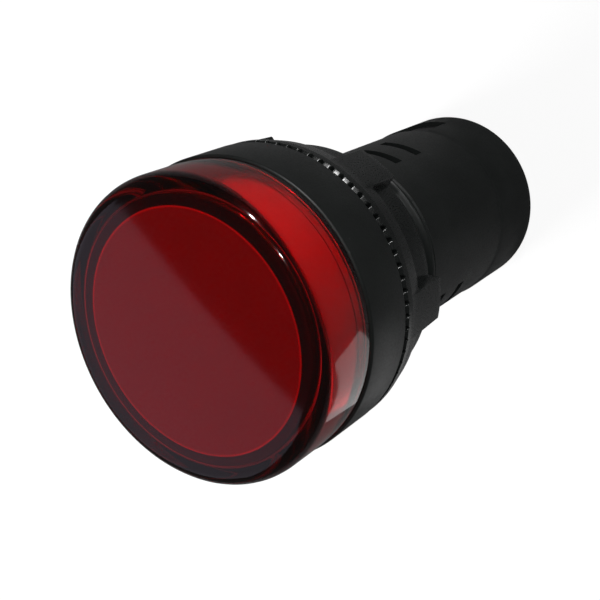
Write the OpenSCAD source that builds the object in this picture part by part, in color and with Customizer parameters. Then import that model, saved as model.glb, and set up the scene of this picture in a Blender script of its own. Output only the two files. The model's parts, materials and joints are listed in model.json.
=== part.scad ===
// Panel pilot light for a 22 mm panel hole, in millimetres.
// A clear cap snaps into a one-piece moulding of bezel, barrel and rear body. A toothed nut
// on the barrel clamps the panel, and a terminal block clips into the rear end.
// +Z runs along the axis to the lens, and z = 0 is the back of the bezel, which seats on
// the panel. The rear end, where the wires are screwed on, is at the lowest z.

/* [Bezel] */
// Outside diameter of the bezel
bezel_d = 29; // [28:0.5:32]
// Height of the bezel, from the panel to the joint with the lens
bezel_h = 6; // [5.5:0.5:8]
// Wall of the bezel round the cavity of the head
bezel_wall = 1.4; // [1.2:0.1:1.6]
// Floor of the cavity, measured from the panel
head_floor = 1.8; // [1.6:0.1:2.2]
// Chamfer on the edges of the bezel
bezel_chamfer = 0.3; // [0.1:0.05:0.5]

/* [Lens] */
// Height of the lens above the bezel
lens_h = 7.2; // [6:0.1:10]
// How far the side of the lens stands inside the side of the bezel
lens_inset = 0.2; // [0:0.05:0.5]
// Radius of the edge round the front of the lens
lens_edge_r = 1.6; // [0.6:0.1:2]
// Thickness of the front of the lens
lens_front = 1.7; // [1.4:0.1:2.4]
// Thickness of the side of the lens
lens_wall = 1.7; // [1.3:0.1:2]
// Thickness of the skirt that snaps into the bezel
skirt_wall = 1; // [0.8:0.1:1.2]
// Height of the snap bead on the skirt
bead_h = 0.2; // [0.1:0.05:0.3]

/* [Light] */
// Gap between the diffuser cup and the skirt of the lens
diffuser_gap = 0.2; // [0.1:0.05:0.6]
// Wall of the diffuser cup
diffuser_wall = 1; // [0.8:0.1:1.4]
// Radius of the edge round the front of the diffuser cup
diffuser_edge_r = 0.4; // [0.2:0.05:0.7]
// Thickness of both circuit boards
board_t = 1.6; // [1:0.2:1.6]
// Number of light-emitting packages on the board
led_n = 6; // [6]
// Side of one square package, for each millimetre of their circle's radius
led_fill = 0.66; // [0.4:0.02:0.7]
// Height of one package
led_h = 1.6; // [1:0.1:2]
// Gap between the packages and the wall of the diffuser cup
led_edge = 1.1; // [0.9:0.1:2]

/* [Barrel and nut] */
// Radial width of the shoulder of the bezel round the threaded barrel
shoulder_w = 3.5; // [3.3:0.05:4]
// Length of the barrel behind the bezel
barrel_l = 13.4; // [12:0.5:18]
// Wall of the barrel round the bore, which runs on through the rear body
barrel_wall = 2.2; // [2:0.05:2.3]
// Radial play of the nut on the barrel
nut_play = 0.05; // [0.02:0.01:0.08]
// Gap between the teeth of the nut and the back of the bezel
nut_gap = 0.2; // [0.1:0.05:0.5]
// Height of the whole nut
nut_h = 7.5; // [6:0.1:9]
// Height of the toothed flange of the nut
flange_h = 3.3; // [2:0.1:4]
// Height of the rim of the flange, which keeps its full diameter
rim_h = 1.1; // [0.9:0.1:1.5]
// How far the flange tapers in from the rim to its back
flange_taper = 0.5; // [0.1:0.05:0.6]
// How far the side of the flange stands inside the side of the bezel
flange_inset = 0.05; // [0:0.05:0.5]
// How far the hub of the nut stands inside the flange, between the lugs
hub_step = 1.65; // [1.3:0.05:2]
// How far the finger lugs stand inside the flange at the rim
lug_inset = 0.1; // [0.05:0.05:0.2]
// How far the finger lugs stand inside the flange at the back of the nut
lug_step = 0.45; // [0.3:0.05:0.9]
// Number of finger lugs
lug_n = 6; // [4:1:8]
// Angle that one lug spans
lug_a = 17.5; // [12:0.5:24]
// Angle at the middle of the first lug
lug_phase = 18; // [0:1:60]
// Number of teeth round the front of the nut
tooth_n = 76; // [48:4:90]
// Depth of the notches between the teeth
tooth_depth = 0.55; // [0.3:0.05:0.8]
// Share of the pitch that one notch takes at the tips of the teeth
notch_share = 0.45; // [0.3:0.01:0.6]
// Radial width of the toothed ring
tooth_ring = 1.1; // [0.6:0.1:1.2]

/* [Gasket] */
// Thickness of the sealing ring
gasket_t = 0.9; // [0.6:0.1:1]
// Distance from the side of the bezel to the sealing ring
gasket_rim = 1.6; // [1.4:0.1:2.2]
// How far the sealing ring stands out of its groove
gasket_proud = 0.1; // [0:0.05:0.15]

/* [Rear body] */
// Length from the back of the bezel to the rear end
rear_l = 38.8; // [38:0.2:48]
// Step from the barrel in to the rear body
body_step = 1; // [0.8:0.05:1.1]
// Step from the rear body out to the collar at the rear end
collar_step = 0.15; // [0.1:0.05:0.4]
// Length of the collar
collar_l = 8.3; // [8.1:0.1:10]
// Chamfer on the edge of the rear end and on the end of the barrel
end_chamfer = 0.35; // [0.1:0.05:0.5]
// Number of groups of vent slots round the body
vent_groups = 3; // [2:1:4]
// Number of slots in one group
vent_rows = 2; // [1:1:2]
// Angle at the middle of the first group of slots
vent_phase = -19; // [-30:1:0]
// Angle that one slot spans
vent_a = 26; // [16:1:40]
// Width of one slot along the body
vent_w = 1.4; // [0.8:0.1:1.8]
// Distance from one slot to the next
vent_pitch = 4.35; // [3:0.05:4.5]
// Distance from the back of the bezel to the middle of the first slot
vent_start = 18.15; // [17:0.05:19]

/* [Terminal block] */
// Radial play of the block in the bore
block_play = 0.1; // [0.05:0.05:0.15]
// Thickness of the block in front of the terminal wells
block_floor = 4; // [3.5:0.1:5]
// Depth of the terminal wells
well_depth = 6.8; // [6.6:0.1:8]
// Wall between the terminal wells and the side of the block
well_wall = 1; // [0.9:0.1:1.2]
// Width of one terminal well
well_w = 7.6; // [7:0.1:8]
// Thickness of the barrier between the wells
barrier_t = 1.3; // [1:0.1:1.6]
// Angle that one latch window spans
window_a = 28; // [20:1:32]
// Height of one latch window
window_h = 5; // [4:0.1:5.2]
// Distance from the rear end to the window
window_end = 3.6; // [3:0.1:4]
// How far the latches reach into their windows
latch_h = 0.95; // [0.6:0.05:1.1]

/* [Terminals] */
// Gap between a clamp plate and the barrier
clamp_gap = 0.4; // [0.3:0.05:0.6]
// Gap between the corners of a clamp plate and the wall of its well
corner_gap = 0.373; // [0.3:0.001:0.6]
// Diameter of the screw thread
screw_d = 3; // [2.5:0.5:3]
// Length of the screw under its head
screw_l = 4.6; // [4:0.1:5]
// How far the side of the screw head stands inside the side of the clamp plate
head_inset = 0.1; // [0:0.05:0.3]
// Height of the screw head
head_h = 1.9; // [1.6:0.1:2]
// Chamfer round the screw head
head_chamfer = 0.4; // [0.2:0.05:0.6]
// Distance from the ends of the screwdriver cross to the side of the head
cross_end = 0.75; // [0.6:0.05:1.2]
// Width of the screwdriver cross
cross_w = 0.7; // [0.6:0.1:1]
// Depth of the screwdriver cross
cross_depth = 1.1; // [0.8:0.1:1.3]
// Thickness of the contact strips
contact_t = 0.8; // [0.6:0.1:1]
// Thickness of the clamp plates
clamp_t = 1; // [0.8:0.1:1.2]
// Height of the grip ribs under a clamp plate
rib_h = 0.25; // [0.15:0.05:0.3]
// Distance from the middle of a rib to the side of the plate
rib_edge = 0.55; // [0.4:0.05:0.7]
// Length of the contact tab in front of the block
tab_l = 3.5; // [2:0.5:4]
// Width of the contact tab
tab_w = 1.3; // [1:0.1:1.3]
// Distance from the tab to the wall of the well
tab_edge = 0.25; // [0.2:0.05:0.3]

/* [Electronics] */
// Gap between the edges of the driver board and the bore
driver_edge = 1.4; // [1.1:0.1:2]
// Gap between the driver board and the board of the lights
driver_gap = 1.2; // [0.6:0.1:2]
// Side of the square pins that join the two boards
pin_size = 0.64; // [0.5:0.02:0.7]
// Distance between the two pins
pin_pitch = 5.08; // [2.54:2.54:5.08]
// Length of the pins beside the driver board
pin_below = 3.6; // [2:0.2:4]
// Length of the pins above the board of the lights
pin_above = 0.8; // [0.4:0.1:1.2]
// Height of the film capacitor on the board
film_h = 5; // [3:0.5:5]
// Length of the film capacitor
film_l = 8.5; // [6:0.5:8.5]
// Gap between the corners of the film capacitor and the bore
film_edge = 1; // [0.8:0.1:2]
// Gap between the terminal block and the film capacitor
film_gap = 2.4; // [1.5:0.1:3]
// Diameter of the filter capacitor
filter_d = 6.3; // [5:0.1:6.3]
// Length of the filter capacitor
filter_l = 11; // [7:0.5:11]
// Gap between the terminal block and the filter capacitor
filter_gap = 2; // [1:0.1:3]
// Distance between the leads of the filter capacitor
filter_pitch = 2.5; // [2:0.5:3.5]
// Depth of the crimp round the filter capacitor
crimp_depth = 0.25; // [0.15:0.05:0.4]
// Height, width and length of the rectifier
rectifier_size = [2.4, 6.2, 7.6];
// Gap between the film capacitor and the rectifier
rectifier_gap = 3; // [1:0.5:4]
// Thickness, reach and width of one leg of the rectifier
leg_size = [0.3, 1, 0.8];
// Diameter of a resistor
resistor_d = 2.3; // [1.8:0.1:2.5]
// Length of a resistor
resistor_l = 6.3; // [5:0.1:6.5]
// Distance between the middles of the two resistors
resistor_pitch = 6.4; // [4:0.2:7]
// Gap between the filter capacitor and the resistors
resistor_gap = 4; // [3:0.5:5]
// Diameter of the component leads
lead_d = 0.6; // [0.5:0.05:0.7]
// How far the leads run out of a component before they bend
lead_reach = 1.1; // [0.8:0.1:1.5]

/* [Hidden] */
$fn = 96;

// Clearance between pieces that slide together, and between stacked pieces
slip = 0.1;
seat = 0.05;
// How far a cut runs past the faces it opens, and how far joined solids run into each other
cut = 1;

// Head
bezel_r = bezel_d / 2;
cavity_r = bezel_r - bezel_wall;
lens_r = bezel_r - lens_inset;
lens_top = bezel_h + lens_h;
lens_inner_r = lens_r - lens_wall;
skirt_r = cavity_r - slip;
led_board_z = head_floor;
led_board_top = led_board_z + board_t;
skirt_z = led_board_top + slip;
bead_rise = 1;
bead_z = skirt_z + bead_rise;
diffuser_r = skirt_r - skirt_wall - diffuser_gap;
diffuser_inner_r = diffuser_r - diffuser_wall;
diffuser_top = lens_top - lens_front - seat;
led_circle_r = (diffuser_inner_r - led_edge) / (1 + led_fill / 2);
led_size = led_circle_r * led_fill;
led_well_r = led_size * 0.4;
led_well_floor_r = led_size * 0.32;

// Barrel, nut and gasket
barrel_r = bezel_r - shoulder_w;
bore_r = barrel_r - barrel_wall;
nut_bore_r = barrel_r + nut_play;
flange_r = bezel_r - flange_inset;
nut_z = -nut_gap - nut_h;
flange_z = -nut_gap - flange_h;
hub_r = flange_r - hub_step;
rim_z = -nut_gap - rim_h;
flange_back_r = flange_r - flange_taper;
lug_front_r = flange_r - lug_inset;
lug_back_r = flange_r - lug_step;
tooth_inner_r = flange_r - tooth_ring;
notch_half = flange_r * sin(180 * notch_share / tooth_n);
recess_rise = 0.2;
recess_z = -nut_gap - tooth_depth - recess_rise;
gasket_groove = gasket_t - gasket_proud;
gasket_r = bezel_r - gasket_rim;

// Rear body
body_r = barrel_r - body_step;
collar_r = body_r + collar_step;
rear_z = -rear_l;
collar_z = rear_z + collar_l;
window_z = rear_z + window_end;

// Terminal block
block_r = bore_r - block_play;
block_h = well_depth + block_floor;
block_front = rear_z + block_h;
well_z = rear_z + well_depth;
well_r = block_r - well_wall;
latch_r = block_r + latch_h;
latch_lip = 0.2;
latch_slack = 0.15;
latch_a = window_a - 2;
hole_floor = 0.8;

// Terminals
clamp_side = barrier_t / 2 + clamp_gap;
clamp_reach = well_r - corner_gap;
clamp_size = (sqrt(5 * clamp_reach ^ 2 - clamp_side ^ 2) - 2 * clamp_side) / 2.5;
screw_offset = clamp_side + clamp_size / 2;
screw_r = screw_d / 2;
hole_r = screw_r + seat;
head_d = clamp_size - 2 * head_inset;
cross_l = head_d - 2 * cross_end;
rib_offset = clamp_size / 2 - rib_edge;
contact_z = well_z - contact_t;
clamp_z = contact_z - seat - rib_h - clamp_t;
head_z = clamp_z - seat - head_h;
tab_y = well_r - tab_edge - tab_w;
head_chamfer_h = 0.5;

// Electronics
board_face = board_t / 2;
driver_w = 2 * (bore_r - driver_edge);
driver_top = led_board_z - driver_gap;
driver_l = driver_top - block_front;
pin_hole_r = pin_size * 0.8;
film_z = block_front + film_gap;
film_w = 2 * sqrt((bore_r - film_edge) ^ 2 - (board_face + film_h) ^ 2);
filter_z = block_front + filter_gap;
rectifier_z = film_z + film_l + rectifier_gap;
filter_top = filter_z + filter_l;
resistor_z = filter_top + resistor_gap;
crimp_r = 0.5;
crimp_z = filter_top - 3 * crimp_r;

// Round-edged disc section, from the axis out to r and from z0 up to z1, for a revolve
module edged_section(r, z0, z1, e) {
  translate([0, z0]) square([r, z1 - e - z0]);
  translate([0, z0]) square([r - e, z1 - z0]);
  translate([r - e, z1 - e]) circle(e);
}

// Rectangle section between two radii and two heights, for a revolve
module ring_section(r0, r1, z0, z1) {
  translate([r0, z0]) square([r1 - r0, z1 - z0]);
}

// Part of a ring, centred on the angle mid and spanning the angle span
module ring_sector(r0, r1, z0, z1, mid, span) {
  rotate([0, 0, mid - span / 2]) rotate_extrude(angle = span) ring_section(r0, r1, z0, z1);
}

// Clear cap: a thick front, a side wall and a skirt with a snap bead
module lens_cap() {
  color([0.75, 0.05, 0.08, 0.6]) rotate_extrude() {
    difference() {
      edged_section(lens_r, bezel_h, lens_top, lens_edge_r);
      ring_section(-cut, lens_inner_r, bezel_h - cut, lens_top - lens_front);
    }
    ring_section(skirt_r - skirt_wall, skirt_r, skirt_z, bezel_h + skirt_wall);
    polygon([[skirt_r, bead_z - 2 * bead_h], [skirt_r + bead_h, bead_z], [skirt_r, bead_z + bead_h]]);
  }
}

// Cup that spreads the light, standing on the board of the lights
module diffuser() {
  color([0.85, 0.1, 0.12]) rotate_extrude() difference() {
    edged_section(diffuser_r, led_board_top, diffuser_top, diffuser_edge_r);
    ring_section(-cut, diffuser_inner_r, led_board_top - cut, diffuser_top - diffuser_wall);
  }
}

// Round board that carries the lights
module led_board() {
  color([0.9, 0.9, 0.86]) difference() {
    translate([0, 0, led_board_z]) cylinder(r = cavity_r - slip, h = board_t);
    for (side = [-1, 1]) {
      translate([board_face + pin_size / 2, side * pin_pitch / 2, led_board_z - cut])
        cylinder(r = pin_hole_r, h = board_t + 2 * cut);
    }
  }
}

// One light-emitting package: a white frame round a shallow well
module led(i) {
  color([0.95, 0.93, 0.85]) rotate([0, 0, i * 360 / led_n])
    translate([led_circle_r, 0, led_board_top]) difference() {
      translate([-led_size / 2, -led_size / 2, 0]) cube([led_size, led_size, led_h]);
      translate([0, 0, led_h / 2]) cylinder(r1 = led_well_floor_r, r2 = led_well_r, h = led_h / 2);
    }
}

// Outer form of the housing: bezel, barrel, body and collar
module housing_section() {
  polygon([
    [bore_r, bezel_h], [bezel_r - bezel_chamfer, bezel_h],
    [bezel_r, bezel_h - bezel_chamfer], [bezel_r, bezel_chamfer],
    [bezel_r - bezel_chamfer, 0], [barrel_r, 0],
    [barrel_r, end_chamfer - barrel_l], [barrel_r - end_chamfer, -barrel_l],
    [body_r, -barrel_l], [body_r, collar_z + collar_r - body_r],
    [collar_r, collar_z], [collar_r, rear_z + end_chamfer],
    [collar_r - end_chamfer, rear_z], [bore_r, rear_z]
  ]);
}

// One-piece moulding of bezel, barrel and rear body, with vents and latch windows
module housing() {
  color([0.13, 0.14, 0.14]) difference() {
    rotate_extrude() difference() {
      housing_section();
      ring_section(-cut, cavity_r, head_floor, bezel_h + cut);
      ring_section(barrel_r, gasket_r + slip, -cut, gasket_groove);
      polygon([
        [cavity_r - cut, bead_z - 3 * bead_h], [cavity_r, bead_z - 3 * bead_h],
        [cavity_r + bead_h, bead_z], [cavity_r, bead_z + 2 * bead_h],
        [cavity_r - cut, bead_z + 2 * bead_h]
      ]);
    }
    for (group = [0 : vent_groups - 1], row = [0 : vent_rows - 1]) {
      mid_z = -vent_start - row * vent_pitch;
      ring_sector(bore_r - cut, collar_r + cut, mid_z - vent_w / 2, mid_z + vent_w / 2,
        vent_phase + group * 360 / vent_groups, vent_a);
    }
    for (side = [0, 180]) {
      ring_sector(bore_r - cut, collar_r + cut, window_z, window_z + window_h, side, window_a);
    }
  }
}

// Soft ring in the back of the bezel that seals against the panel
module sealing_gasket() {
  color([0.08, 0.08, 0.08]) rotate_extrude()
    ring_section(barrel_r + seat, gasket_r, -gasket_proud, gasket_groove);
}

// V-shaped notch that runs out through the rim of the nut
module tooth_notch() {
  translate([tooth_inner_r - cut / 2, 0, -nut_gap]) rotate([90, 0, 90])
    linear_extrude(tooth_ring + cut)
      polygon([[-2 * notch_half, tooth_depth], [2 * notch_half, tooth_depth], [0, -tooth_depth]]);
}

// Section of the nut: hub, flange that tapers to its back, and the recess inside the teeth
module nut_section() {
  polygon([
    [nut_bore_r, nut_z], [hub_r, nut_z], [hub_r, flange_z], [flange_back_r, flange_z],
    [flange_r, rim_z], [flange_r, -nut_gap], [tooth_inner_r, -nut_gap],
    [tooth_inner_r, recess_z], [nut_bore_r, recess_z]
  ]);
}

// Section of a finger lug, which narrows a little to the back of the nut
module lug_section() {
  polygon([
    [hub_r - cut / 2, nut_z], [lug_back_r, nut_z], [lug_front_r, rim_z], [hub_r - cut / 2, rim_z]
  ]);
}

// Nut with a toothed flange toward the panel and finger lugs along its hub
module panel_nut() {
  color([0.16, 0.17, 0.17]) difference() {
    union() {
      rotate_extrude() nut_section();
      for (i = [0 : lug_n - 1]) {
        rotate([0, 0, lug_phase - lug_a / 2 + i * 360 / lug_n])
          rotate_extrude(angle = lug_a) lug_section();
      }
    }
    for (i = [0 : tooth_n - 1]) {
      rotate([0, 0, i * 360 / tooth_n]) tooth_notch();
    }
  }
}

// Outline of one terminal well, drawn on the side of +Y, kept clear of its walls by gap
module well_outline(gap) {
  intersection() {
    circle(well_r - gap);
    translate([-well_w / 2 + gap, barrier_t / 2 + gap]) square([well_w - 2 * gap, well_r]);
  }
}

// Block with two terminal wells, clipped into the rear end by two latches
module terminal_block() {
  color([0.15, 0.15, 0.16]) difference() {
    union() {
      translate([0, 0, rear_z]) cylinder(r = block_r, h = block_h);
      for (side = [0, 180]) {
        rotate([0, 0, side - latch_a / 2]) rotate_extrude(angle = latch_a)
          polygon([
            [block_r - cut, window_z + latch_slack], [latch_r, window_z + latch_slack],
            [latch_r, window_z + window_h / 3], [block_r + latch_lip, window_z + window_h - latch_slack],
            [block_r - cut, window_z + window_h - latch_slack]
          ]);
      }
    }
    for (side = [0, 180]) {
      rotate([0, 0, side]) {
        translate([0, 0, rear_z - cut]) linear_extrude(well_depth + cut) well_outline(0);
        translate([0, screw_offset, well_z - cut])
          cylinder(r = hole_r + slip, h = cut + block_floor - hole_floor);
        translate([board_face - seat, tab_y - seat, well_z - cut])
          cube([contact_t + 2 * seat, tab_w + 2 * seat, block_floor + 2 * cut]);
      }
    }
  }
}

// Contact strip in a well, with the tab that is soldered to the driver board
module contact(side) {
  color([0.8, 0.68, 0.35]) rotate([0, 0, side]) difference() {
    union() {
      translate([0, 0, contact_z]) linear_extrude(contact_t) well_outline(slip);
      translate([board_face, tab_y, contact_z])
        cube([contact_t, tab_w, contact_t + block_floor + tab_l]);
    }
    translate([0, screw_offset, contact_z - cut]) cylinder(r = hole_r, h = contact_t + 2 * cut);
  }
}

// Square plate that presses the wire on the contact strip, with two grip ribs
module clamp_plate(side) {
  color([0.78, 0.78, 0.76]) rotate([0, 0, side]) translate([0, screw_offset, clamp_z]) difference() {
    union() {
      translate([-clamp_size / 2, -clamp_size / 2, 0]) cube([clamp_size, clamp_size, clamp_t]);
      for (x = [-1, 1]) {
        translate([x * rib_offset - rib_h, -clamp_size / 2, clamp_t - seat])
          cube([2 * rib_h, clamp_size, rib_h + seat]);
      }
    }
    translate([0, 0, -cut]) cylinder(r = hole_r, h = clamp_t + rib_h + 2 * cut);
  }
}

// Cross-slotted screw, with its head toward the rear end
module terminal_screw(side) {
  color([0.74, 0.74, 0.73]) rotate([0, 0, side]) translate([0, screw_offset, head_z]) difference() {
    union() {
      cylinder(r1 = head_d / 2 - head_chamfer, r2 = head_d / 2, h = head_chamfer_h);
      translate([0, 0, head_chamfer_h]) cylinder(r = head_d / 2, h = head_h - head_chamfer_h);
      cylinder(r = screw_r, h = head_h + screw_l);
    }
    for (turn = [0, 90]) {
      rotate([0, 0, turn]) translate([-cross_l / 2, -cross_w / 2, -cut])
        cube([cross_l, cross_w, cross_depth + cut]);
    }
  }
}

// Upright board behind the lights, standing on the terminal block
module driver_board() {
  color([0.1, 0.35, 0.2]) translate([-board_face, -driver_w / 2, block_front])
    cube([board_t, driver_w, driver_l]);
}

// Square pin from the driver board through the board of the lights
module board_pin(side) {
  color([0.82, 0.7, 0.38])
    translate([board_face, side * pin_pitch / 2 - pin_size / 2, driver_top - pin_below])
      cube([pin_size, pin_size, pin_below + led_board_top + pin_above - driver_top]);
}

// Boxed capacitor that drops the mains voltage
module film_capacitor() {
  color([0.75, 0.6, 0.1]) translate([board_face, -film_w / 2, film_z])
    cube([film_h, film_w, film_l]);
}

// Bent lead from a component at height z to the face of the board
module bent_lead(x, y, z0, z1) {
  translate([x, y, min(z0, z1)]) cylinder(d = lead_d, h = abs(z1 - z0));
  translate([x, y, z1]) sphere(d = lead_d);
  translate([x, y, z1]) rotate([0, 90, 0]) cylinder(d = lead_d, h = -board_face - x);
}

// Can-shaped capacitor that smooths the current, lying on the board
module filter_capacitor() {
  x = -board_face - seat - filter_d / 2;
  color([0.12, 0.16, 0.3]) {
    difference() {
      translate([x, 0, filter_z]) cylinder(d = filter_d, h = filter_l);
      translate([x, 0, crimp_z]) rotate_extrude()
        translate([filter_d / 2 - crimp_depth + crimp_r, 0]) circle(crimp_r);
    }
    for (side = [-1, 1]) {
      bent_lead(x, side * filter_pitch / 2, filter_top - cut, filter_top + lead_reach);
    }
  }
}

// Four-legged bridge rectifier, flat on the board
module rectifier() {
  w = rectifier_size[1];
  color([0.1, 0.1, 0.1]) translate([board_face, 0, rectifier_z]) {
    translate([0, -w / 2, 0]) cube(rectifier_size);
    for (side = [-1, 1], end = [1, 4]) {
      translate([0, side * w / 2 - leg_size[1], rectifier_size[2] * end / 5 - leg_size[2] / 2])
        cube([leg_size[0], 2 * leg_size[1], leg_size[2]]);
    }
  }
}

// Resistor along the board, with a lead bent down to it at each end
module resistor(side) {
  x = -board_face - slip - resistor_d / 2;
  y = side * resistor_pitch / 2;
  color([0.55, 0.7, 0.8]) {
    translate([x, y, resistor_z]) cylinder(d = resistor_d, h = resistor_l);
    bent_lead(x, y, resistor_z + cut, resistor_z - lead_reach);
    bent_lead(x, y, resistor_z + resistor_l - cut, resistor_z + resistor_l + lead_reach);
  }
}

lens_cap();
diffuser();
led_board();
led(1);  // led_1
led(2);  // led_2
led(3);  // led_3
led(4);  // led_4
led(5);  // led_5
led(6);  // led_6
housing();
sealing_gasket();
panel_nut();
terminal_block();
contact(0);  // contact_1
contact(180);  // contact_2
clamp_plate(0);  // clamp_plate_1
clamp_plate(180);  // clamp_plate_2
terminal_screw(0);  // terminal_screw_1
terminal_screw(180);  // terminal_screw_2
driver_board();
board_pin(-1);  // board_pin_1
board_pin(1);  // board_pin_2
film_capacitor();
filter_capacitor();
rectifier();
resistor(-1);  // resistor_1
resistor(1);  // resistor_2
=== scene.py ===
# %% [markdown]
# # A panel pilot light, dressed in Blender
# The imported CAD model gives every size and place. This file keeps those sizes and works out
# finer surfaces over them: moulded edges, a real thread, a toothed rim and clear red plastic.

# %% Load the frame
import json
import math

import bpy
import numpy as np
from mathutils import Matrix, Vector


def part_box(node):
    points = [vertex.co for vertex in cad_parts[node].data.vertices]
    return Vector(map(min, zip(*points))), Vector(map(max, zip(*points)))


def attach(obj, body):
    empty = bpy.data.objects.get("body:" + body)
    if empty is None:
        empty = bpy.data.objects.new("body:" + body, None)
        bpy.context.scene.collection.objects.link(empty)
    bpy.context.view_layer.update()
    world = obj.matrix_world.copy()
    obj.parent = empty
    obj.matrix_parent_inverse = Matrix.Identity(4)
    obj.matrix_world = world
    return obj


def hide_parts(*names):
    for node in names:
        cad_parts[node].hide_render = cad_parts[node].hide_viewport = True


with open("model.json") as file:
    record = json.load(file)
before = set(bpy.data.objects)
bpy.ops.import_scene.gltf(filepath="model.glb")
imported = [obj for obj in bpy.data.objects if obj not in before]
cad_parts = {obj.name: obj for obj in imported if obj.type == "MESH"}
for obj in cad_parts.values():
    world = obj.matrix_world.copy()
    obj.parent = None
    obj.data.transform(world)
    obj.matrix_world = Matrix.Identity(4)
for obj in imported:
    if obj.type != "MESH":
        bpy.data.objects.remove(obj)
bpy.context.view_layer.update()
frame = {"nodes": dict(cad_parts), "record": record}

MM = 0.001

# %% [markdown]
# ## Sizes come from the frame
# Every node knows its own box. A radius is half the width of a round node, and a height is
# one of its two z values, so nothing here has to be typed twice.

# %% Read the driving sizes, in millimetres
def low_high(node):
    """Lowest and highest corner of a CAD node, in millimetres."""
    low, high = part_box(node)
    return np.array(low) / MM, np.array(high) / MM


def radius(node):
    """Half the width of a round CAD node along X, in millimetres."""
    low, high = low_high(node)
    return (high[0] - low[0]) / 2


def heights(node):
    """Lowest and highest z of a CAD node, in millimetres."""
    low, high = low_high(node)
    return low[2], high[2]


BEZEL_R = radius("housing")
REAR_Z, BEZEL_Z = heights("housing")
SKIRT_Z, LENS_Z = heights("lens_cap")
LENS_R = radius("lens_cap")
DIFFUSER_R = radius("diffuser")
DIFFUSER_Z0, DIFFUSER_Z1 = heights("diffuser")
NUT_Z0, NUT_Z1 = heights("panel_nut")
NUT_R = radius("panel_nut")
GASKET_R = radius("sealing_gasket")
GASKET_Z1 = heights("sealing_gasket")[1]
BOARD_Z0 = heights("led_board")[0]
print("bezel radius", round(BEZEL_R, 3), "lens top", round(LENS_Z, 3), "rear end", round(REAR_Z, 3))

# %% [markdown]
# ## The camera
# A camera is a place, a direction and a roll. It looks down on the lens from one side, close
# enough that the lens looks much larger than the rear end, and it is rolled so that the
# rear end points up and to the right.

# %% Place the camera
CAMERA_AIM = (-1.13, -2.16, -1.26)
CAMERA_AZIMUTH = -67.12
CAMERA_ELEVATION = 50.92
CAMERA_ROLL = -118.53
CAMERA_DISTANCE = 103.6
CAMERA_LENS = 65.3


def direction(azimuth, elevation):
    """Unit vector at an angle round +Z from +X, and at an angle above the horizon, in degrees."""
    a, e = math.radians(azimuth), math.radians(elevation)
    return Vector((math.cos(e) * math.cos(a), math.cos(e) * math.sin(a), math.sin(e)))


def camera_matrix(aim, azimuth, elevation, roll, distance):
    """Matrix of a camera at distance from aim. Its right and up axes start level, with right
    square to the view and to +Z, and are turned by roll round the view."""
    back = direction(azimuth, elevation)
    level = (-back).cross(Vector((0, 0, 1))).normalized()
    upright = level.cross(-back)
    turn = math.radians(roll)
    right = level * math.cos(turn) + upright * math.sin(turn)
    up = upright * math.cos(turn) - level * math.sin(turn)
    place = (Vector(aim) + back * distance) * MM
    matrix = Matrix((right, up, back)).transposed().to_4x4()
    matrix.translation = place
    return matrix


camera_data = bpy.data.cameras.new("camera")
camera_data.lens = CAMERA_LENS
camera_data.sensor_width = 36
camera_data.clip_start = 0.005
camera = bpy.data.objects.new("camera", camera_data)
camera.matrix_world = camera_matrix(CAMERA_AIM, CAMERA_AZIMUTH, CAMERA_ELEVATION,
                                    CAMERA_ROLL, CAMERA_DISTANCE)
bpy.context.collection.objects.link(camera)
bpy.context.scene.camera = camera
print("camera at", [round(value / MM, 1) for value in camera.location])

# %% [markdown]
# ## Profiles and grids
# Almost every piece of this light is a turned or moulded ring. One outline is drawn in radius
# and height, its corners are rounded with arcs, and it is carried round the axis. A grid of
# points with one function for the radius and one for the height then takes care of what isn't
# round, such as lugs, teeth and a thread.

# %% Round the corners of an outline
# Half the angle of a corner, in radians, above which the corner counts as straight.
NEARLY_STRAIGHT = 1.55


def smooth_step(value):
    """Smooth rise from 0 to 1 as value goes from 0 to 1: 3 v squared less 2 v cubed."""
    value = np.clip(value, 0, 1)
    return value * value * (3 - 2 * value)


def rounded(points, radii, steps):
    """Outline with an arc of so many steps in place of each corner. The arc touches both sides
    at r / tan(half the corner's angle) from the corner, and its centre lies on the line that
    halves the angle."""
    points = np.array(points, float)
    out = []
    for i, corner in enumerate(points):
        before, after = points[i - 1], points[(i + 1) % len(points)]
        u = (before - corner) / np.linalg.norm(before - corner)
        v = (after - corner) / np.linalg.norm(after - corner)
        half = math.acos(np.clip(u @ v, -1, 1)) / 2
        if radii[i] <= 0 or half > NEARLY_STRAIGHT:
            out.append(corner[None])
            continue
        reach = radii[i] / math.tan(half)
        centre = corner + (u + v) / np.linalg.norm(u + v) * radii[i] / math.sin(half)
        start, end = corner + u * reach - centre, corner + v * reach - centre
        sweep = math.atan2(start[0] * end[1] - start[1] * end[0], start @ end)
        angle = np.linspace(0, sweep, steps + 1)[:, None]
        turned = np.stack([-start[1], start[0]])
        out.append(centre + np.cos(angle) * start + np.sin(angle) * turned)
    return np.concatenate(out)


def resampled(outline, longest):
    """Closed outline with points added evenly on every side longer than longest."""
    out = []
    for start, end in zip(outline, np.roll(outline, -1, axis=0)):
        count = max(1, math.ceil(np.linalg.norm(end - start) / longest))
        out.append(start + (end - start) * np.arange(count)[:, None] / count)
    return np.concatenate(out)


# %% Turn grids of points into meshes
def ring_faces(columns, rows, closed_rows):
    """Quads of a grid that closes round its columns, and over its rows too if closed_rows."""
    c = np.arange(columns)[:, None]
    r = np.arange(rows if closed_rows else rows - 1)[None, :]
    c1, r1 = (c + 1) % columns, (r + 1) % rows
    quads = np.stack([c * rows + r, c1 * rows + r, c1 * rows + r1, c * rows + r1], -1)
    return quads.reshape(-1, 4)


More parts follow.
